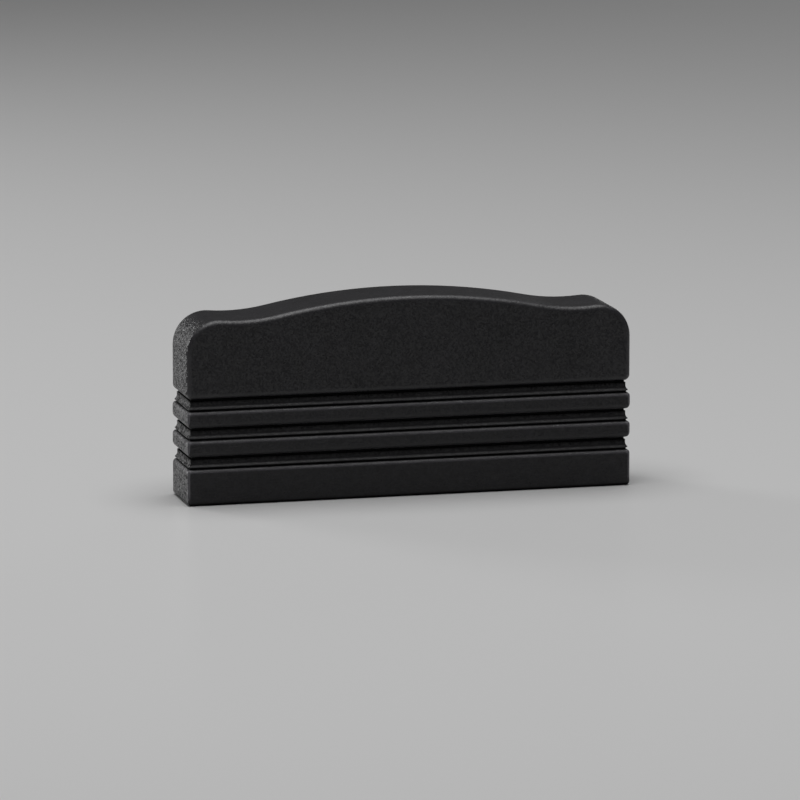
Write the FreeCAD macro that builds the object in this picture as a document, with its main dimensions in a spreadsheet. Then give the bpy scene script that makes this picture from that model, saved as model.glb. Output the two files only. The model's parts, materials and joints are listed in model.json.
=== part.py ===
"""Chalkboard eraser: a hollow arched grip over a stack of felt wiping layers.

The grip is one moulding, closed underneath by a screwed base plate. Three wiping layers hang
below it. Each layer is a moulded carrier, with a narrow neck and a flared foot, and a felt
bonded under the foot. The necks leave three finger grooves round the eraser, where a worn
layer is gripped and peeled off the one above.

Units are millimetres. +X runs along the length, +Y from front to rear and +Z up. The origin
is the middle of the wiping face, which is the face that the eraser stands on.
"""
import FreeCAD, Part
import math
import operator
import os
from types import SimpleNamespace

import Sketcher

# alias, value, meaning
DIMENSIONS = [
    ("length", 127.0, "overall length"),
    ("depth", 20.0, "overall depth from front face to rear face"),
    ("grip_height", 26.6, "grip from its underside to the top of the arch"),
    ("shoulder_drop", 4.7, "how far the shoulders lie below the top of the arch"),
    ("crown_radius", 183.0, "radius of the arch"),
    ("dip_radius", 54.0, "radius of the dip between the arch and a shoulder"),
    ("shoulder_radius", 9.2, "radius of the grip's upper corners"),
    ("lip_radius", 1.7, "radius of the grip's lower corners"),
    ("grip_rounding", 1.6, "rounding round the grip's front and rear faces"),
    ("wall", 2.4, "wall of the grip"),
    ("web_thickness", 1.6, "webs that stiffen the inside of the grip"),
    ("screw_spacing", 44.0, "distance between neighbouring screws"),
    ("boss_radius", 3.4, "screw bosses inside the grip"),
    ("boss_hole_depth", 9.0, "depth of the hole in a boss"),
    ("plate_thickness", 2.5, "base plate"),
    ("plate_clearance", 0.1, "gap between the base plate and the grip's wall"),
    ("plate_corner", 0.8, "radius of the base plate's corners"),
    ("screw_length", 10.0, "screw from the top of its head to its tip"),
    ("screw_radius", 1.45, "crests of the screw's thread, and its plain shank"),
    ("screw_root", 1.1, "roots of the screw's thread"),
    ("screw_pitch", 1.2, "distance between thread crests"),
    ("screw_clearance", 0.05, "gap between the screw and the holes that it passes"),
    ("head_radius", 2.75, "countersunk head, whose cone stands at 45 degrees"),
    ("recess_depth", 1.0, "cross recess in the head"),
    ("recess_span", 2.8, "length of each slot of the recess"),
    ("recess_slot", 0.6, "width of each slot of the recess"),
    ("strip_thickness", 0.6, "peel strip on top of each carrier"),
    ("strip_inset", 1.4, "how far the peel strip lies inside the felt's outline"),
    ("carrier_height", 2.2, "carrier from the top of its neck to the sole of its foot"),
    ("foot_inset", 0.45, "how far the foot's rim lies inside the felt's outline"),
    ("foot_corner", 1.1, "radius of the foot's corners"),
    ("foot_rim", 0.2, "thickness of the foot at its rim"),
    ("neck_inset", 1.1, "how far the neck lies inside the felt's outline"),
    ("hollow_radius", 1.5, "radius of the hollow curve from the rim up to the neck"),
    ("tape_thickness", 0.5, "bonding tape between a foot and its felt"),
    ("tape_inset", 0.9, "how far the tape lies inside the felt's outline"),
    ("tape_corner", 0.5, "radius of the tape's corners"),
    ("felt_thickness", 4.8, "each spare felt"),
    ("pad_thickness", 10.3, "lowest felt, which is the one in use"),
    ("felt_corner", 0.8, "radius of a felt's upright corners"),
    ("felt_top_rounding", 1.1, "rounding round the top of a felt"),
    ("felt_under_rounding", 1.6, "rounding round the underside of a spare felt"),
    ("sole_rounding", 1.2, "rounding round the wiping face"),
]
LAYERS = ("lower", "middle", "upper")
SCREWS = {"left": -1, "centre": 0, "right": 1}
WEBS = (-2, -1, 0, 1, 2)  # in half screw spacings
THREAD_CRESTS = 5
QUARTER = math.pi / 2
OVERSHOOT = 1.0  # how far a cut runs past the face that it opens
TOUCHING = 1e-4

OPERATIONS = {"+": operator.add, "-": operator.sub, "*": operator.mul, "/": operator.truediv}


class Size:
    """A length and the spreadsheet formula that gives it."""

    def __init__(self, value, formula=None):
        self.value = value
        self.formula = formula or str(value)

    def __add__(self, other):
        return combine(self, "+", other)

    def __sub__(self, other):
        return combine(self, "-", other)

    def __mul__(self, other):
        return combine(self, "*", other)

    def __truediv__(self, other):
        return combine(self, "/", other)

    def __neg__(self):
        return combine(self, "*", -1)

    def root(self):
        return Size(math.sqrt(self.value), f"sqrt({self.formula})")


def combine(left, sign, right):
    right = right if isinstance(right, Size) else Size(right)
    value = OPERATIONS[sign](left.value, right.value)
    return Size(value, f"({left.formula} {sign} {right.formula})")


def fill_sheet():
    """Put the driving dimensions in the spreadsheet and return each one as a Size."""
    sheet = doc.addObject("Spreadsheet::Sheet", "Dimensions")
    sizes = {}
    for row, (alias, value, meaning) in enumerate(DIMENSIONS, start=1):
        sheet.set(f"A{row}", alias)
        sheet.set(f"B{row}", str(value))
        sheet.set(f"C{row}", meaning)
        sheet.setAlias(f"B{row}", alias)
        sizes[alias] = Size(value, f"Dimensions.{alias}")
    doc.recompute()
    return SimpleNamespace(**sizes)


doc = FreeCAD.newDocument("chalkboard_eraser")
dim = fill_sheet()
ZERO = Size(0.0)


# Bodies and sketches


def new_body(label, x=ZERO, z=ZERO):
    """A sub-part whose own origin stands at (x, 0, z) of the eraser."""
    body = doc.addObject("PartDesign::Body", label)
    body.Label = label
    body.setExpression("Placement.Base.x", x.formula)
    body.setExpression("Placement.Base.z", z.formula)
    return body


def new_sketch(body, name, plane, height=ZERO):
    """A sketch on one of the body's own origin planes, lifted by height along its normal."""
    support = next(item for item in body.Origin.OriginFeatures if item.Role == plane)
    sketch = body.newObject("Sketcher::SketchObject", f"{body.Label}_{name}")
    sketch.AttachmentSupport = [(support, "")]
    sketch.MapMode = "FlatFace"
    sketch.setExpression("AttachmentOffset.Base.z", height.formula)
    return sketch


def point(across, along):
    return FreeCAD.Vector(across.value, along.value, 0)


def direction(start, end):
    return math.atan2(end.y - start.y, end.x - start.x)


def fix(sketch, kind, places, size):
    """Add a dimension that follows the spreadsheet."""
    index = sketch.addConstraint(Sketcher.Constraint(kind, *places, size.value))
    sketch.setExpression(f"Constraints[{index}]", size.formula)


def fix_point(sketch, edge, vertex, across, along):
    """Hold a vertex of an edge (1 start, 2 end, 3 centre) at this place in the sketch."""
    for kind, axis, size in (("DistanceX", -2, across), ("DistanceY", -1, along)):
        if abs(size.value) < TOUCHING:
            sketch.addConstraint(Sketcher.Constraint("PointOnObject", edge, vertex, axis))
        elif size.value > 0:
            fix(sketch, kind, (-1, 1, edge, vertex), size)
        else:
            fix(sketch, kind, (edge, vertex, -1, 1), -size)


def fix_arc(sketch, edge, radius, across, along):
    fix(sketch, "Radius", (edge,), radius)
    fix_point(sketch, edge, 3, across, along)


def add_chain(sketch, pieces, angular=False):
    """Add the edges of a closed outline in order, each joined to the next.

    A piece is an edge and the vertices at which the outline enters and leaves it. The joints
    beside an arc are smooth, unless the outline is angular.
    """
    edges = [sketch.addGeometry(edge, False) for edge, _, _ in pieces]
    for index, (edge, _, leave) in enumerate(pieces):
        following = (index + 1) % len(pieces)
        next_edge, enter, _ = pieces[following]
        straight = isinstance(edge, Part.LineSegment) and isinstance(next_edge, Part.LineSegment)
        joint = "Coincident" if angular or straight else "Tangent"
        places = (edges[index], leave, edges[following], enter)
        sketch.addConstraint(Sketcher.Constraint(joint, *places))
    return edges


def line_piece(start, end):
    return Part.LineSegment(start, end), 1, 2


def arc_piece(centre, radius, start, turn, backwards=False):
    """An arc that turns anticlockwise from an angle; backwards enters it at its far end."""
    circle = Part.Circle(centre, FreeCAD.Vector(0, 0, 1), radius.value)
    arc = Part.ArcOfCircle(circle, start, start + turn)
    return (arc, 2, 1) if backwards else (arc, 1, 2)


def curve_piece(start, end, radius):
    """An arc that bends anticlockwise from one point to another."""
    chord = end - start
    rise = math.sqrt(radius.value**2 - chord.Length**2 / 4)
    normal = FreeCAD.Vector(-chord.y, chord.x, 0) / chord.Length
    centre = (start + end) / 2 + normal * rise
    turn = 2 * math.asin(chord.Length / 2 / radius.value)
    return arc_piece(centre, radius, direction(centre, start), turn)


def add_polygon(sketch, corners):
    """A closed outline of straight edges, each corner held by its own dimensions."""
    points = [point(*corner) for corner in corners]
    following = points[1:] + points[:1]
    pieces = [line_piece(start, end) for start, end in zip(points, following)]
    for edge, corner in zip(add_chain(sketch, pieces, angular=True), corners):
        fix_point(sketch, edge, 1, *corner)


def add_rectangle(sketch, low, high):
    add_polygon(sketch, [low, (high[0], low[1]), high, (low[0], high[1])])


def add_circle(sketch, across, along, radius):
    circle = Part.Circle(point(across, along), FreeCAD.Vector(0, 0, 1), radius.value)
    fix_arc(sketch, sketch.addGeometry(circle, False), radius, across, along)


def add_round_rectangle(sketch, half_across, half_along, radius):
    """A rectangle about the origin, with round corners."""
    across = half_across - radius
    along = half_along - radius
    centres = [(across, -along), (across, along), (-across, along), (-across, -along)]
    arcs = [
        arc_piece(point(*centre), radius, (turn - 1) * QUARTER, QUARTER)
        for turn, centre in enumerate(centres)
    ]
    pieces = []
    for (arc, *ends), (next_arc, *_) in zip(arcs, arcs[1:] + arcs[:1]):
        pieces += [(arc, *ends), line_piece(arc.EndPoint, next_arc.StartPoint)]
    for edge, centre in zip(add_chain(sketch, pieces)[::2], centres):
        fix_arc(sketch, edge, radius, *centre)


# Features


def add_pad(body, sketch, thickness, sides="One side"):
    pad = body.newObject("PartDesign::Pad", f"{sketch.Label}_pad")
    pad.Profile = sketch
    pad.SideType = sides
    pad.setExpression("Length", thickness.formula)
    doc.recompute()


def add_cut(body, kind, sketch, **settings):
    """Cut a sketch out of the body, and make sure that the cut takes something away."""
    before = body.Shape.Volume
    cut = body.newObject(f"PartDesign::{kind}", f"{sketch.Label}_cut")
    cut.Profile = sketch
    for name, value in settings.items():
        if isinstance(value, Size):
            cut.setExpression(name, value.formula)
        else:
            setattr(cut, name, value)
    doc.recompute()
    if body.Shape.Volume > before - TOUCHING:
        raise ValueError(f"{cut.Label} cuts nothing")


def add_fillet(body, radius, wanted):
    """Round every edge of the body whose bounding box is one that is wanted."""
    base = body.Tip
    edges = enumerate(base.Shape.Edges, start=1)
    names = [f"Edge{number}" for number, edge in edges if wanted(edge.BoundBox)]
    fillet = body.newObject("PartDesign::Fillet", f"{base.Label}_rounding")
    fillet.Base = (base, names)
    fillet.setExpression("Radius", radius.formula)
    doc.recompute()


def upright(box):
    return box.XLength < TOUCHING and box.YLength < TOUCHING


def level_at(height):
    """A test for edges that lie level at this height of their body."""
    return lambda box: box.ZLength < TOUCHING and abs(box.ZMin - height.value) < TOUCHING


def on_front_or_rear(box):
    return box.YLength < TOUCHING and abs(abs(box.YMin) - dim.depth.value / 2) < TOUCHING


def add_slab(body, inset, thickness):
    """A rectangular plate that lies this far inside the eraser's outline."""
    sketch = new_sketch(body, "outline", "XY_Plane")
    corner = (dim.length / 2 - inset, dim.depth / 2 - inset)
    add_rectangle(sketch, (-corner[0], -corner[1]), corner)
    add_pad(body, sketch, thickness)


# Wiping layers


def make_felt(label, base, thickness, under_rounding):
    body = new_body(label, z=base)
    add_slab(body, ZERO, thickness)
    add_fillet(body, dim.felt_corner, upright)
    add_fillet(body, dim.felt_top_rounding, level_at(thickness))
    add_fillet(body, under_rounding, level_at(ZERO))


def make_tape(label, base):
    body = new_body(label, z=base)
    add_slab(body, dim.tape_inset, dim.tape_thickness)
    add_fillet(body, dim.tape_corner, upright)


def make_strip(label, base):
    body = new_body(label, z=base)
    add_slab(body, dim.strip_inset, dim.strip_thickness)


def make_carrier(label, base):
    """A flared foot that sweeps up in a hollow curve to a narrower neck."""
    body = new_body(label, z=base)
    add_slab(body, dim.foot_inset, dim.carrier_height)
    add_fillet(body, dim.foot_corner, upright)
    rim = new_sketch(body, "rim", "XY_Plane")
    half_length = dim.length / 2 - dim.foot_inset
    half_depth = dim.depth / 2 - dim.foot_inset
    add_round_rectangle(rim, half_length, half_depth, dim.foot_corner)
    hollow = new_sketch(body, "hollow", "YZ_Plane")
    add_hollow_section(hollow)
    add_cut(body, "SubtractivePipe", hollow, Spine=rim)


def add_hollow_section(sketch):
    """What the neck and its hollow curve leave free, seen along the eraser's length.

    The curve leaves the rim at a slant and runs smoothly into the upright neck.
    """
    rim = dim.depth / 2 - dim.foot_inset
    neck = dim.depth / 2 - dim.neck_inset
    flare = dim.neck_inset - dim.foot_inset
    neck_start = dim.foot_rim + (flare * (dim.hollow_radius * 2 - flare)).root()
    outside = rim + OVERSHOOT
    above = dim.carrier_height + OVERSHOOT
    corners = [
        (rim, dim.foot_rim),
        (outside, dim.foot_rim),
        (outside, above),
        (neck, above),
        (neck, neck_start),
    ]
    points = [point(*corner) for corner in corners]
    pieces = [line_piece(start, end) for start, end in zip(points, points[1:])]
    pieces.append(curve_piece(points[-1], points[0], dim.hollow_radius))
    edges = add_chain(sketch, pieces, angular=True)
    for edge, corner in zip(edges, corners):
        fix_point(sketch, edge, 1, *corner)
    fix(sketch, "Radius", (edges[-1],), dim.hollow_radius)


# Grip

shoulder_across = dim.length / 2 - dim.shoulder_radius
shoulder_height = dim.grip_height - dim.shoulder_drop
shoulder_along = shoulder_height - dim.shoulder_radius
crown_along = dim.grip_height - dim.crown_radius


def dip_centre(crown, crown_reach, shoulder, shoulder_reach):
    """The point above the outline at these distances from the crown's and shoulder's centres."""
    gap = shoulder - crown
    along = (crown_reach**2 - shoulder_reach**2 + gap.Length**2) / (2 * gap.Length)
    aside = math.sqrt(crown_reach**2 - along**2)
    normal = FreeCAD.Vector(-gap.y, gap.x, 0)
    return crown + gap * (along / gap.Length) + normal * (aside / gap.Length)


def arch_pieces(inset):
    """The arch with its dips and shoulders, from right to left, this far inside the grip."""
    shoulder_radius = dim.shoulder_radius - inset
    dip_radius = dim.dip_radius + inset
    crown_radius = dim.crown_radius - inset
    crown = point(ZERO, crown_along)
    shoulder = point(shoulder_across, shoulder_along)
    crown_reach = crown_radius + dip_radius
    shoulder_reach = shoulder_radius + dip_radius
    dip = dip_centre(crown, crown_reach.value, shoulder, shoulder_reach.value)
    shoulder_turn = direction(shoulder, dip)
    crown_start = direction(crown, dip)
    dip_turn = shoulder_turn - crown_start
    left_shoulder = FreeCAD.Vector(-shoulder.x, shoulder.y, 0)
    left_dip = FreeCAD.Vector(-dip.x, dip.y, 0)
    return [
        arc_piece(shoulder, shoulder_radius, 0, shoulder_turn),
        arc_piece(dip, dip_radius, math.pi + crown_start, dip_turn, backwards=True),
        arc_piece(crown, crown_radius, crown_start, math.pi - 2 * crown_start),
        arc_piece(left_dip, dip_radius, 2 * math.pi - shoulder_turn, dip_turn, backwards=True),
        arc_piece(left_shoulder, shoulder_radius, math.pi - shoulder_turn, shoulder_turn),
    ]


def fix_arch(sketch, edges, inset):
    right_shoulder, right_dip, crown, left_dip, left_shoulder = edges
    shoulder_radius = dim.shoulder_radius - inset
    fix_arc(sketch, right_shoulder, shoulder_radius, shoulder_across, shoulder_along)
    fix_arc(sketch, left_shoulder, shoulder_radius, -shoulder_across, shoulder_along)
    fix_arc(sketch, crown, dim.crown_radius - inset, ZERO, crown_along)
    fix(sketch, "Radius", (right_dip,), dim.dip_radius + inset)
    fix(sketch, "Radius", (left_dip,), dim.dip_radius + inset)


def add_grip_outline(sketch):
    lip = dim.lip_radius
    lip_across = dim.length / 2 - lip
    right_lip = arc_piece(point(lip_across, lip), lip, -QUARTER, QUARTER)
    left_lip = arc_piece(point(-lip_across, lip), lip, math.pi, QUARTER)
    arch = arch_pieces(ZERO)
    pieces = [
        right_lip,
        line_piece(right_lip[0].EndPoint, arch[0][0].StartPoint),
        *arch,
        line_piece(arch[-1][0].EndPoint, left_lip[0].StartPoint),
        left_lip,
        line_piece(left_lip[0].EndPoint, right_lip[0].StartPoint),
    ]
    right_edge, _, *arch_edges, _, left_edge, _ = add_chain(sketch, pieces)
    fix_arc(sketch, right_edge, lip, lip_across, lip)
    fix_arc(sketch, left_edge, lip, -lip_across, lip)
    fix_arch(sketch, arch_edges, ZERO)


def add_cavity_outline(sketch):
    """The inside of the grip: parallel to its outline, and open through its underside."""
    side = dim.length / 2 - dim.wall
    below = Size(-OVERSHOOT)
    arch = arch_pieces(dim.wall)
    pieces = [
        line_piece(point(side, below), arch[0][0].StartPoint),
        *arch,
        line_piece(arch[-1][0].EndPoint, point(-side, below)),
        line_piece(point(-side, below), point(side, below)),
    ]
    right_side, *arch_edges, left_side, floor = add_chain(sketch, pieces)
    fix_arch(sketch, arch_edges, dim.wall)
    for edge in (right_side, left_side):
        sketch.addConstraint(Sketcher.Constraint("Vertical", edge))
    fix(sketch, "DistanceY", (right_side, 1, -1, 1), -below)
    sketch.addConstraint(Sketcher.Constraint("Horizontal", floor))


def ceiling(half_spacings):
    """The middle of the grip's top wall, this many half screw spacings from its centre."""
    if abs(half_spacings) > 1:
        return shoulder_height - dim.wall / 2
    across = dim.screw_spacing / 2 * half_spacings
    reach = dim.crown_radius - dim.wall / 2
    return (reach * reach - across * across).root() + crown_along


def make_grip_shell():
    body = new_body("grip_shell", z=grip_base)
    outline = new_sketch(body, "outline", "XZ_Plane")
    add_grip_outline(outline)
    add_pad(body, outline, dim.depth, "Symmetric")
    add_fillet(body, dim.grip_rounding, on_front_or_rear)

    cavity = new_sketch(body, "cavity", "XZ_Plane")
    add_cavity_outline(cavity)
    cavity_depth = dim.depth - dim.wall * 2
    add_cut(body, "Pocket", cavity, SideType="Symmetric", Length=cavity_depth)

    webs = new_sketch(body, "webs", "XZ_Plane")
    for place in WEBS:
        middle = dim.screw_spacing / 2 * place
        half = dim.web_thickness / 2
        low = (middle - half, dim.plate_thickness)
        add_rectangle(webs, low, (middle + half, ceiling(place)))
    add_pad(body, webs, dim.depth - dim.wall, "Symmetric")

    for name, place in SCREWS.items():
        boss = new_sketch(body, f"boss_{name}", "XY_Plane", dim.plate_thickness)
        add_circle(boss, dim.screw_spacing * place, ZERO, dim.boss_radius)
        add_pad(body, boss, ceiling(2 * place) - dim.plate_thickness)

    holes = new_sketch(body, "boss_holes", "XY_Plane", dim.plate_thickness)
    for place in SCREWS.values():
        radius = dim.screw_radius + dim.screw_clearance
        add_circle(holes, dim.screw_spacing * place, ZERO, radius)
    add_cut(body, "Pocket", holes, Length=dim.boss_hole_depth, Reversed=True)


def make_base_plate():
    """The plate that closes the grip, with a countersunk hole for each screw."""
    body = new_body("base_plate", z=grip_base)
    add_slab(body, dim.wall + dim.plate_clearance, dim.plate_thickness)
    add_fillet(body, dim.plate_corner, upright)
    holes = new_sketch(body, "holes", "XY_Plane")
    radius = dim.screw_radius + dim.screw_clearance
    for place in SCREWS.values():
        add_circle(holes, dim.screw_spacing * place, ZERO, radius)
    add_cut(
        body,
        "Hole",
        holes,
        Reversed=True,
        DepthType="ThroughAll",
        HoleCutType="Countersink",
        HoleCutCountersinkAngle=90,
        Diameter=radius * 2,
        HoleCutDiameter=dim.head_radius * 2,
    )


def make_screw(name, place):
    """A countersunk self-tapping screw with a cross recess, driven up from below.

    Its thread is drawn as separate rings instead of a helix.
    """
    body = new_body(f"screw_{name}", x=dim.screw_spacing * place, z=grip_base)
    profile = new_sketch(body, "profile", "XZ_Plane")
    corners = [
        (ZERO, ZERO),
        (dim.head_radius, ZERO),
        (dim.screw_radius, dim.head_radius - dim.screw_radius),
        (dim.screw_radius, dim.plate_thickness),
    ]
    for crest in range(THREAD_CRESTS):
        valley = dim.plate_thickness + dim.screw_pitch * (crest + 0.5)
        corners.append((dim.screw_root, valley))
        corners.append((dim.screw_radius, valley + dim.screw_pitch / 2))
    corners.append((dim.screw_root, dim.plate_thickness + dim.screw_pitch * (THREAD_CRESTS + 0.5)))
    corners.append((ZERO, dim.screw_length))
    add_polygon(profile, corners)
    turned = body.newObject("PartDesign::Revolution", f"{body.Label}_turned")
    turned.Profile = profile
    turned.ReferenceAxis = (profile, ["V_Axis"])
    doc.recompute()

    recess = new_sketch(body, "recess", "XY_Plane")
    arm = dim.recess_span / 2
    half = dim.recess_slot / 2
    cross = [(arm, -half), (arm, half), (half, half), (half, arm), (-half, arm), (-half, half)]
    cross += [(-across, -along) for across, along in cross]
    add_polygon(recess, cross)
    add_cut(body, "Pocket", recess, Length=dim.recess_depth, Reversed=True)


# Assembly, from the wiping face up

layer_joint = dim.tape_thickness + dim.carrier_height + dim.strip_thickness
felt_top = dim.pad_thickness
for layer in LAYERS:
    if layer == LAYERS[0]:
        make_felt("wiping_pad", ZERO, dim.pad_thickness, dim.sole_rounding)
    else:
        felt_base = felt_top + layer_joint
        felt_top = felt_base + dim.felt_thickness
        make_felt(f"felt_layer_{layer}", felt_base, dim.felt_thickness, dim.felt_under_rounding)
    foot_base = felt_top + dim.tape_thickness
    make_tape(f"felt_tape_{layer}", felt_top)
    make_carrier(f"carrier_{layer}", foot_base)
    make_strip(f"peel_strip_{layer}", foot_base + dim.carrier_height)

grip_base = felt_top + layer_joint
make_grip_shell()
make_base_plate()
for name, place in SCREWS.items():
    make_screw(name, place)


# Checks and files

doc.recompute()
for item in doc.Objects:
    if "Invalid" in item.State or "Error" in item.State:
        raise ValueError(f"{item.Label} failed: {item.State}")
    if item.TypeId == "Sketcher::SketchObject" and not item.FullyConstrained:
        raise ValueError(f"{item.Label} isn't fully constrained")

os.makedirs("parts", exist_ok=True)
for body in doc.findObjects("PartDesign::Body"):
    shape = body.Shape
    if shape.isNull() or not shape.isValid() or len(shape.Solids) != 1:
        raise ValueError(f"{body.Label} isn't one valid solid")
    shape.exportStep(f"parts/{body.Label}.step")
    print(f"{body.Label}: {shape.Volume:.1f} mm3")
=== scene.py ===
import json
import math

import bpy
import numpy as np
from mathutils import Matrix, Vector, noise


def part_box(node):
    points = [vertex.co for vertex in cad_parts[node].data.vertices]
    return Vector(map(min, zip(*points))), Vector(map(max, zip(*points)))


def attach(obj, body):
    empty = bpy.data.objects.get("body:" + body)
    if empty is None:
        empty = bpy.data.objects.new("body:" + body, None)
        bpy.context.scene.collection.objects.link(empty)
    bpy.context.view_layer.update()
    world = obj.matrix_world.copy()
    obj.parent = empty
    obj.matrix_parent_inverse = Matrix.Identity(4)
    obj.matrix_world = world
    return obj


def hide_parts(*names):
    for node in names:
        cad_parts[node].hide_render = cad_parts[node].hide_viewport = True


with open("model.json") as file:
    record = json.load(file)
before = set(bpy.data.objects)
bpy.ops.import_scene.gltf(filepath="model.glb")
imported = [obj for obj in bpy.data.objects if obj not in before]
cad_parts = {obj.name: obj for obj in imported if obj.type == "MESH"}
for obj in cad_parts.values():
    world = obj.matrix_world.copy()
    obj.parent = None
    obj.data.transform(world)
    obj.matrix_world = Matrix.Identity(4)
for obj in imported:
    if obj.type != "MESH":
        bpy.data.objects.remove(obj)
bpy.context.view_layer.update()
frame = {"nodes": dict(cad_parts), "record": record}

MM = 0.001

# Camera: a long lens, so the eraser shows almost no perspective
AZIMUTH = math.radians(-14.35)
ELEVATION = math.radians(10.28)
DISTANCE = 1.6857
LENS_MM = 271.9
SENSOR_MM = 36
AIM = Vector((-0.0006, 0.0, 0.02545))

# Felts and tapes: rounding of their edges, and the resolution and unevenness of their surface
FELT_STEP = 0.5 * MM
FELT_CORNER = 0.8 * MM
FELT_TOP = 1.1 * MM
FELT_UNDER = 1.6 * MM
SOLE_ROUNDING = 1.2 * MM
TAPE_STEP = 1.0 * MM
TAPE_CORNER = 0.5 * MM
TAPE_ROUNDING = 0.2 * MM
ARC_STEPS = 6
SHARPEST_CORNER = 0.25
UNEVEN = 0.05 * MM
LUMP = 1.6 * MM
SMALL_LUMP = 0.7 * MM

# Black surfaces: how much light they throw back, and their tint
TONE = 0.009
TINT = (1.02, 0.97, 1.12)
# Painted shade: the colour that crevices are painted in
PAINTED_SHADE_COLOUR = (0.001, 0.001, 0.001)
FOAM_COLOUR = (0.004, 0.004, 0.0045)
ZINC_COLOUR = (0.62, 0.62, 0.64, 1)

# How far crevices and edges are felt, and the openness over which each sets in: crevices get
# painted shade, edges get wear and a painted highlight
OPENNESS_SAMPLES = 8
CREVICE_REACH = 3 * MM
PAINTED_SHADE_RANGE = (0.25, 0.75)
EDGE_REACH = 1.2 * MM
EDGE_RANGE = (0.88, 1)

# Edge wear and painted highlight need room around the edge, and an edge that looks up or towards
# an end, the way the lamps light it
WEAR_AND_HIGHLIGHT_ROOM = (0.8, 0.95)
WEAR_AND_HIGHLIGHT_FACING = (0.02, 0.25)

# Grain: its size, and how squarely a face looks to the front, or to an end, where it changes
GRAIN = 0.42 * MM
FRONT_FACING = (0.95, 0.995)
END_FACING = (0.2, 0.9)
END_EDGE = (0.2, 0.6)

# Stage
FLOOR_REACH = 6.0
FLOOR_COLOUR = (0.6, 0.6, 0.6, 1)
FLOOR_ROUGHNESS = 0.28
WORLD_LEVEL = 0.05
LIGHTS = (
    ("overhead_softbox", (-0.05, -0.05, 1.2), (-0.05, -0.05, 0), 1.3, 17.3),
    ("left_softbox", (-0.65, 0.85, 0.3), (0, 0, 0.03), 0.4, 3.5),
    ("right_softbox", (0.95, 1.35, 0.45), (0, 0, 0.03), 0.4, 1.0),
)


# Materials


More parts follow.
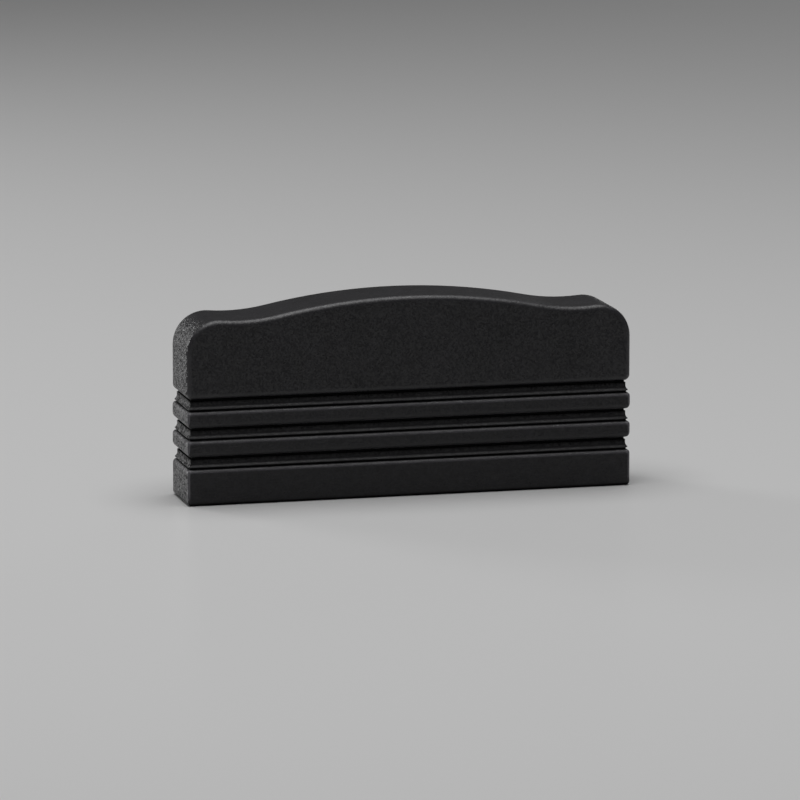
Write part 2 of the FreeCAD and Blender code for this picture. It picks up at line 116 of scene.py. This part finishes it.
class Nodes:
    """A short way to build a material's node tree."""

    def __init__(self, name):
        self.material = bpy.data.materials.new(name)
        self.material.use_nodes = True
        self.tree = self.material.node_tree
        self.surface = self.tree.nodes["Principled BSDF"]

    def add(self, kind, **inputs):
        node = self.tree.nodes.new(kind)
        for name, value in inputs.items():
            self.set(node, name.replace("_", " "), value)
        return node

    def set(self, node, name, value):
        socket = node.inputs[name]
        if isinstance(value, bpy.types.NodeSocket):
            self.tree.links.new(value, socket)
        else:
            socket.default_value = value

    def place(self, stretch=(1, 1, 1)):
        """The point being shaded, in metres, in the frame that every piece shares."""
        here = self.add("ShaderNodeTexCoord").outputs["Object"]
        return self.add("ShaderNodeMapping", Vector=here, Scale=stretch).outputs["Vector"]

    def noise(self, feature, detail=2.0, roughness=0.5, stretch=(1, 1, 1)):
        """Noise whose lumps are about this large, in metres."""
        node = self.add(
            "ShaderNodeTexNoise",
            Vector=self.place(stretch),
            Scale=1 / feature,
            Detail=detail,
            Roughness=roughness,
        )
        return node.outputs["Fac"]

    def cells(self, feature):
        node = self.add("ShaderNodeTexVoronoi", Vector=self.place(), Scale=1 / feature)
        node.feature = "SMOOTH_F1"
        return node.outputs["Distance"]

    def map(self, value, low, high, start=0.3, end=0.7):
        """Low up to the start, high from the end on, and even steps in between."""
        node = self.add("ShaderNodeMapRange", Value=value)
        node.inputs["From Min"].default_value = start
        node.inputs["From Max"].default_value = end
        node.inputs["To Min"].default_value = low
        node.inputs["To Max"].default_value = high
        return node.outputs["Result"]

    def mix(self, factor, first, second):
        node = self.tree.nodes.new("ShaderNodeMix")
        node.data_type = "RGBA"
        self.set(node, "Factor", factor)
        for index, colour in ((6, first), (7, second)):
            if isinstance(colour, bpy.types.NodeSocket):
                self.tree.links.new(colour, node.inputs[index])
            else:
                node.inputs[index].default_value = (*colour, 1)
        return node.outputs[2]

    def combine(self, operation, first, second):
        node = self.tree.nodes.new("ShaderNodeMath")
        node.operation = operation
        for socket, value in zip(node.inputs, (first, second)):
            self.tree.links.new(value, socket)
        return node.outputs["Value"]

    def scale(self, first, second):
        return self.combine("MULTIPLY", first, second)

    def bump(self, height, depth, under=None, strength=1.0):
        node = self.add("ShaderNodeBump", Height=height, Distance=depth, Strength=strength)
        if under is not None:
            self.set(node, "Normal", under)
        return node.outputs["Normal"]

    def vector_math(self, operation, first, second=None):
        node = self.tree.nodes.new("ShaderNodeVectorMath")
        node.operation = operation
        for socket, value in zip(node.inputs, (first, second)):
            if isinstance(value, bpy.types.NodeSocket):
                self.tree.links.new(value, socket)
            elif value is not None:
                socket.default_value = value
        return node.outputs["Vector"]

    def normal(self):
        """The shape's own normal, without any bumps."""
        return self.add("ShaderNodeNewGeometry").outputs["Normal"]

    def facing(self):
        """How squarely the shape looks along each axis, from 0 to 1, whichever way along it."""
        squarely = self.vector_math("ABSOLUTE", self.normal())
        return self.add("ShaderNodeSeparateXYZ", Vector=squarely).outputs

    def facets(self, tilt, end_tilt, normal):
        """Tilt each small grain at random, so that grains glint one by one.

        The grain is strongest on the ends, and weakest where one face rounds into the next.
        """
        node = self.add("ShaderNodeTexVoronoi", Vector=self.place(), Scale=1 / GRAIN)
        off = self.vector_math("SUBTRACT", node.outputs["Color"], (0.5, 0.5, 0.5))
        facing = self.facing()
        front = self.map(facing["Y"], 0.5 * tilt, 2 * tilt, *FRONT_FACING)
        end = self.scale(
            self.map(facing["X"], 0, 2 * end_tilt, *END_FACING),
            self.map(facing["Y"], 1, 0, *END_EDGE),
        )
        off = self.vector_math("MULTIPLY", off, self.combine("ADD", front, end))
        return self.vector_math("NORMALIZE", self.vector_math("ADD", normal, off))

    def height(self):
        """How high the point being shaded is in its piece, from 0 to 1."""
        place = self.add("ShaderNodeTexCoord").outputs["Generated"]
        return self.add("ShaderNodeSeparateXYZ", Vector=place).outputs["Z"]

    def openness(self, reach, inside=False):
        """1 in the open and less in a crevice, or with inside, less along an outer edge."""
        node = self.add("ShaderNodeAmbientOcclusion", Distance=reach)
        node.samples = OPENNESS_SAMPLES
        node.inside = inside
        node.only_local = inside
        return node.outputs["AO"]


def black_with_painted_shade_and_wear(nodes, blotch, gloss, edge_gloss, wear_and_highlight_tone, top_shade=None):
    """Black with painted shade deep in the grooves, and edges made paler and shinier, partly by
    wear and partly as a painted highlight.
    """
    spread = nodes.map(nodes.noise(blotch, 4), 0, 1)
    faces = nodes.mix(spread, [0.75 * TONE * c for c in TINT], [1.25 * TONE * c for c in TINT])
    room = nodes.openness(CREVICE_REACH)
    # Wear and painted highlight: edges turn paler and shinier, but only out of crevices and
    # where they look up or towards an end, as the lamps light them
    wear_and_highlight = nodes.map(nodes.openness(EDGE_REACH, inside=True), 1, 0, *EDGE_RANGE)
    wear_and_highlight = nodes.scale(wear_and_highlight, nodes.map(room, 0, 1, *WEAR_AND_HIGHLIGHT_ROOM))
    up = nodes.add("ShaderNodeSeparateXYZ", Vector=nodes.normal()).outputs["Z"]
    reached = nodes.combine("ADD", up, nodes.facing()["X"])
    wear_and_highlight = nodes.scale(wear_and_highlight, nodes.map(reached, 0, 1, *WEAR_AND_HIGHLIGHT_FACING))
    faces = nodes.mix(wear_and_highlight, faces, [wear_and_highlight_tone * c for c in TINT])
    # Painted shade: in crevices the colour turns to the painted shade colour and the shine
    # fades, by how closed in they are
    light = nodes.map(room, 0, 1, *PAINTED_SHADE_RANGE)
    # Painted shade: darker towards the top of the piece, where that is asked for
    if top_shade is not None:
        light = nodes.scale(light, top_shade)
    nodes.set(nodes.surface, "Base Color", nodes.mix(light, PAINTED_SHADE_COLOUR, faces))
    shine = nodes.scale(nodes.map(wear_and_highlight, gloss, edge_gloss, 0, 1), light)
    nodes.set(nodes.surface, "Specular IOR Level", shine)
    return wear_and_highlight


def moulded_black(name, grain, tilt, edge_gloss, wear_and_highlight_tone, shade_towards_top=False):
    """Matte black moulding with a fine spark-eroded grain."""
    nodes = Nodes(name)
    # Painted shade: darker towards the top of each piece, under the layer above
    top_shade = nodes.map(nodes.height(), 1.0, 0.2, 0.4, 1.0) if shade_towards_top else None
    wear_and_highlight = black_with_painted_shade_and_wear(nodes, 7 * MM, 0.4, edge_gloss, wear_and_highlight_tone, top_shade)
    waves = nodes.bump(nodes.noise(5 * MM, 2), 0.08 * MM)
    fresh = nodes.map(wear_and_highlight, 1, 0.2, 0, 1)
    pebbles = nodes.bump(nodes.noise(0.5 * MM, 2, 0.55), grain, waves, fresh)
    nodes.set(nodes.surface, "Roughness", nodes.map(nodes.noise(0.9 * MM, 3), 0.38, 0.52))
    nodes.set(nodes.surface, "Normal", nodes.facets(tilt, 3 * tilt, pebbles))
    return nodes.material


def pressed_felt(name):
    """Dense black felt: matted fibres in a fuzzy nap."""
    nodes = Nodes(name)
    # Painted shade in the crevices, and wear and a painted highlight on the edges
    black_with_painted_shade_and_wear(nodes, 2.5 * MM, 0.36, 0.9, 0.06)
    along = nodes.bump(nodes.noise(0.6 * MM, 3, 0.6, (0.3, 1, 1.3)), 0.12 * MM)
    fibres = nodes.bump(nodes.noise(0.4 * MM, 3, 0.65), 0.08 * MM, along)
    nodes.set(nodes.surface, "Roughness", nodes.map(nodes.noise(0.6 * MM, 3), 0.4, 0.56))
    nodes.set(nodes.surface, "Sheen Weight", 0.08)
    nodes.set(nodes.surface, "Sheen Roughness", 0.4)
    nodes.set(nodes.surface, "Normal", nodes.facets(0.2, 0.6, fibres))
    return nodes.material


def foam_tape(name):
    """Black foam adhesive: dull and finely pitted."""
    nodes = Nodes(name)
    # Painted shade: in crevices the foam turns to the painted shade colour and loses its shine
    light = nodes.map(nodes.openness(CREVICE_REACH), 0, 1, *PAINTED_SHADE_RANGE)
    nodes.set(nodes.surface, "Base Color", nodes.mix(light, PAINTED_SHADE_COLOUR, FOAM_COLOUR))
    nodes.set(nodes.surface, "Specular IOR Level", nodes.map(light, 0, 0.1, 0, 1))
    nodes.set(nodes.surface, "Roughness", nodes.map(nodes.noise(0.4 * MM), 0.7, 0.85))
    nodes.set(nodes.surface, "Normal", nodes.bump(nodes.cells(0.2 * MM), 0.03 * MM))
    return nodes.material


def zinc_steel(name):
    """Zinc-plated steel, slightly mottled."""
    nodes = Nodes(name)
    nodes.set(nodes.surface, "Base Color", ZINC_COLOUR)
    nodes.set(nodes.surface, "Metallic", 1.0)
    nodes.set(nodes.surface, "Roughness", nodes.map(nodes.noise(0.5 * MM, 4), 0.25, 0.45))
    nodes.set(nodes.surface, "Normal", nodes.bump(nodes.noise(0.3 * MM), 0.005 * MM))
    return nodes.material


# Felts and tapes


def side_profile(thickness, top, under, step):
    """(inset, height) pairs up the side of a slab, from its underside to its top."""
    arc = [math.pi / 2 * turn / ARC_STEPS for turn in range(ARC_STEPS + 1)]
    start = [(under * (1 - math.sin(a)), under * (1 - math.cos(a))) for a in arc]
    end = [(top * (1 - math.cos(a)), thickness - top * (1 - math.sin(a))) for a in arc]
    run = thickness - top - under
    rows = max(2, round(run / step))
    side = [(0.0, under + run * row / rows) for row in range(1, rows)]
    return start + side + end


def rounded_side(half_along, half_out, corner, steps):
    """(along, out) points of one side, from the middle of a corner to the middle of the next."""
    run = half_along - corner
    out = half_out - corner
    angles = [-math.pi / 4 * (1 - step / ARC_STEPS) for step in range(ARC_STEPS)]
    start = [(-run + corner * math.sin(a), out + corner * math.cos(a)) for a in angles]
    straight = [(-run + 2 * run * step / steps, half_out) for step in range(steps + 1)]
    return start + straight + [(-along, away) for along, away in reversed(start)]


def rounded_sides(half_x, half_y, corner, steps_x, steps_y):
    """The four sides of a rounded rectangle, anticlockwise from the front."""
    across = np.array(rounded_side(half_x, half_y, corner, steps_x))
    back = np.array(rounded_side(half_y, half_x, corner, steps_y))
    return [
        np.column_stack([across[:, 0], -across[:, 1]]),
        np.column_stack([back[:, 1], back[:, 0]]),
        np.column_stack([-across[:, 0], across[:, 1]]),
        np.column_stack([-back[:, 1], -back[:, 0]]),
    ]


def fill_patch(front, right, rear, left):
    """A grid of points that spans four sides, the rear and left ones turned about."""
    rear, left = rear[::-1], left[::-1]
    u = np.linspace(0, 1, len(front))[:, None, None]
    v = np.linspace(0, 1, len(right))[None, :, None]
    across = (1 - v) * front[:, None] + v * rear[:, None]
    along = (1 - u) * left[None] + u * right[None]
    near = (1 - u) * front[0] + u * front[-1]
    far = (1 - u) * rear[0] + u * rear[-1]
    return across + along - ((1 - v) * near + v * far)


def ring_points(count_x, count_y):
    """The grid points along a patch's edge, in the order of the ring that it closes."""
    front = [(i, 0) for i in range(count_x)]
    right = [(count_x, j) for j in range(count_y)]
    rear = [(count_x - i, count_y) for i in range(count_x)]
    left = [(0, count_y - j) for j in range(count_y)]
    return front + right + rear + left


def cap(patch, ring_start, free):
    """Inner points and faces of a patch whose edge is the ring that begins at ring_start."""
    count_x, count_y = patch.shape[0] - 1, patch.shape[1] - 1
    inner = [(i, j) for i in range(1, count_x) for j in range(1, count_y)]
    index = {point: ring_start + at for at, point in enumerate(ring_points(count_x, count_y))}
    index.update({point: free + at for at, point in enumerate(inner)})
    faces = [
        (index[i, j], index[i + 1, j], index[i + 1, j + 1], index[i, j + 1])
        for i in range(count_x)
        for j in range(count_y)
    ]
    return [patch[point] for point in inner], faces


def side_faces(rows, ring):
    faces = []
    for row in range(rows - 1):
        for column in range(ring):
            a = row * ring + column
            b = row * ring + (column + 1) % ring
            faces.append((a, b, b + ring, a + ring))
    return faces


def roughen(mesh):
    """Sink the surface by uneven amounts, so that nothing stands out beyond the true size."""
    normals = [vertex.normal.copy() for vertex in mesh.vertices]
    for vertex, normal in zip(mesh.vertices, normals):
        lumps = noise.noise(vertex.co / LUMP) + 0.5 * noise.noise(vertex.co / SMALL_LUMP)
        vertex.co -= normal * UNEVEN * (0.5 + lumps / 3)


def soft_block(node, slot, material, corner, top, under, step):
    """A soft slab with round edges and a slightly uneven surface, in place of its node."""
    low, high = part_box(node)
    half_x = (high.x - low.x) / 2
    half_y = (high.y - low.y) / 2
    steps_x = round(2 * (half_x - corner) / step)
    steps_y = round(2 * (half_y - corner) / step)
    profile = side_profile(high.z - low.z, top, under, step)

    def sides_at(inset):
        turn = max(corner - inset, SHARPEST_CORNER * corner)
        return rounded_sides(half_x - inset, half_y - inset, turn, steps_x, steps_y)

    vertices = []
    for inset, height in profile:
        loop = np.concatenate([side[:-1] for side in sides_at(inset)])
        vertices += [(x, y, low.z + height) for x, y in loop]
    ring = len(loop)
    faces = side_faces(len(profile), ring)
    for row, flip in ((0, True), (len(profile) - 1, False)):
        inset, height = profile[row]
        inner, patch_faces = cap(fill_patch(*sides_at(inset)), row * ring, len(vertices))
        vertices += [(x, y, low.z + height) for x, y in inner]
        faces += [face[::-1] if flip else face for face in patch_faces]

    name = f"{node}_{slot}"
    mesh = bpy.data.meshes.new(name)
    mesh.from_pydata(vertices, [], faces)
    mesh.update()
    roughen(mesh)
    mesh.polygons.foreach_set("use_smooth", [True] * len(mesh.polygons))
    mesh.materials.append(material)
    piece = bpy.data.objects.new(name, mesh)
    bpy.context.scene.collection.objects.link(piece)
    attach(piece, "root")
    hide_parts(node)


felt = pressed_felt("black_felt")
soft_block("wiping_pad", "felt", felt, FELT_CORNER, FELT_TOP, SOLE_ROUNDING, FELT_STEP)
for layer in ("middle", "upper"):
    node = f"felt_layer_{layer}"
    soft_block(node, "felt", felt, FELT_CORNER, FELT_TOP, FELT_UNDER, FELT_STEP)

foam = foam_tape("adhesive_foam")
for layer in ("lower", "middle", "upper"):
    for node in (f"felt_tape_{layer}", f"peel_strip_{layer}"):
        soft_block(node, "adhesive", foam, TAPE_CORNER, TAPE_ROUNDING, TAPE_ROUNDING, TAPE_STEP)


# CAD nodes that stay, in better materials

# The mouldings get painted shade in their crevices and wear with a painted highlight on their
# edges; the carriers get painted shade towards their top too
finishes = {
    "grip": moulded_black("grip_moulding", 0.08 * MM, 0.2, 0.6, 0.03),
    "carriers": moulded_black("carrier_moulding", 0.12 * MM, 0.25, 0.28, 0.01, shade_towards_top=True),
    "base_plate": moulded_black("plate_moulding", 0.05 * MM, 0.1, 0.5, 0.03),
    "screws": zinc_steel("zinc_plated_steel"),
}
for part in frame["record"]["subparts"]:
    if part["material_slot"] in finishes:
        frame["nodes"][part["node"]].data.materials[0] = finishes[part["material_slot"]]


# Stage


def add_floor():
    mesh = bpy.data.meshes.new("floor")
    signs = ((-1, -1), (1, -1), (1, 1), (-1, 1))
    corners = [(x * FLOOR_REACH, y * FLOOR_REACH, 0) for x, y in signs]
    mesh.from_pydata(corners, [], [(0, 1, 2, 3)])
    nodes = Nodes("pale_floor")
    nodes.set(nodes.surface, "Base Color", FLOOR_COLOUR)
    nodes.set(nodes.surface, "Roughness", FLOOR_ROUGHNESS)
    mesh.materials.append(nodes.material)
    floor = bpy.data.objects.new("floor", mesh)
    bpy.context.scene.collection.objects.link(floor)


def add_softbox(name, place, aim, size, power):
    light = bpy.data.lights.new(name, "AREA")
    light.shape = "DISK"
    light.size = size
    light.energy = power
    lamp = bpy.data.objects.new(name, light)
    lamp.location = place
    lamp.rotation_euler = (Vector(aim) - Vector(place)).to_track_quat("-Z", "Y").to_euler()
    bpy.context.scene.collection.objects.link(lamp)


def add_world(level):
    world = bpy.data.worlds.new("studio")
    bpy.context.scene.world = world
    world.use_nodes = True
    world.node_tree.nodes["Background"].inputs["Color"].default_value = (level, level, level, 1)


def add_camera():
    lens = bpy.data.cameras.new("camera")
    lens.lens = LENS_MM
    lens.sensor_width = SENSOR_MM
    lens.clip_end = 50
    camera = bpy.data.objects.new("camera", lens)
    outward = Vector((
        math.sin(AZIMUTH) * math.cos(ELEVATION),
        -math.cos(AZIMUTH) * math.cos(ELEVATION),
        math.sin(ELEVATION),
    ))
    camera.location = AIM + outward * DISTANCE
    camera.rotation_euler = (-outward).to_track_quat("-Z", "Y").to_euler()
    bpy.context.scene.collection.objects.link(camera)
    bpy.context.scene.camera = camera


add_floor()
for name, place, aim, size, power in LIGHTS:
    add_softbox(name, place, aim, size, power)
add_world(WORLD_LEVEL)
add_camera()
bpy.context.scene.view_settings.view_transform = "Standard"
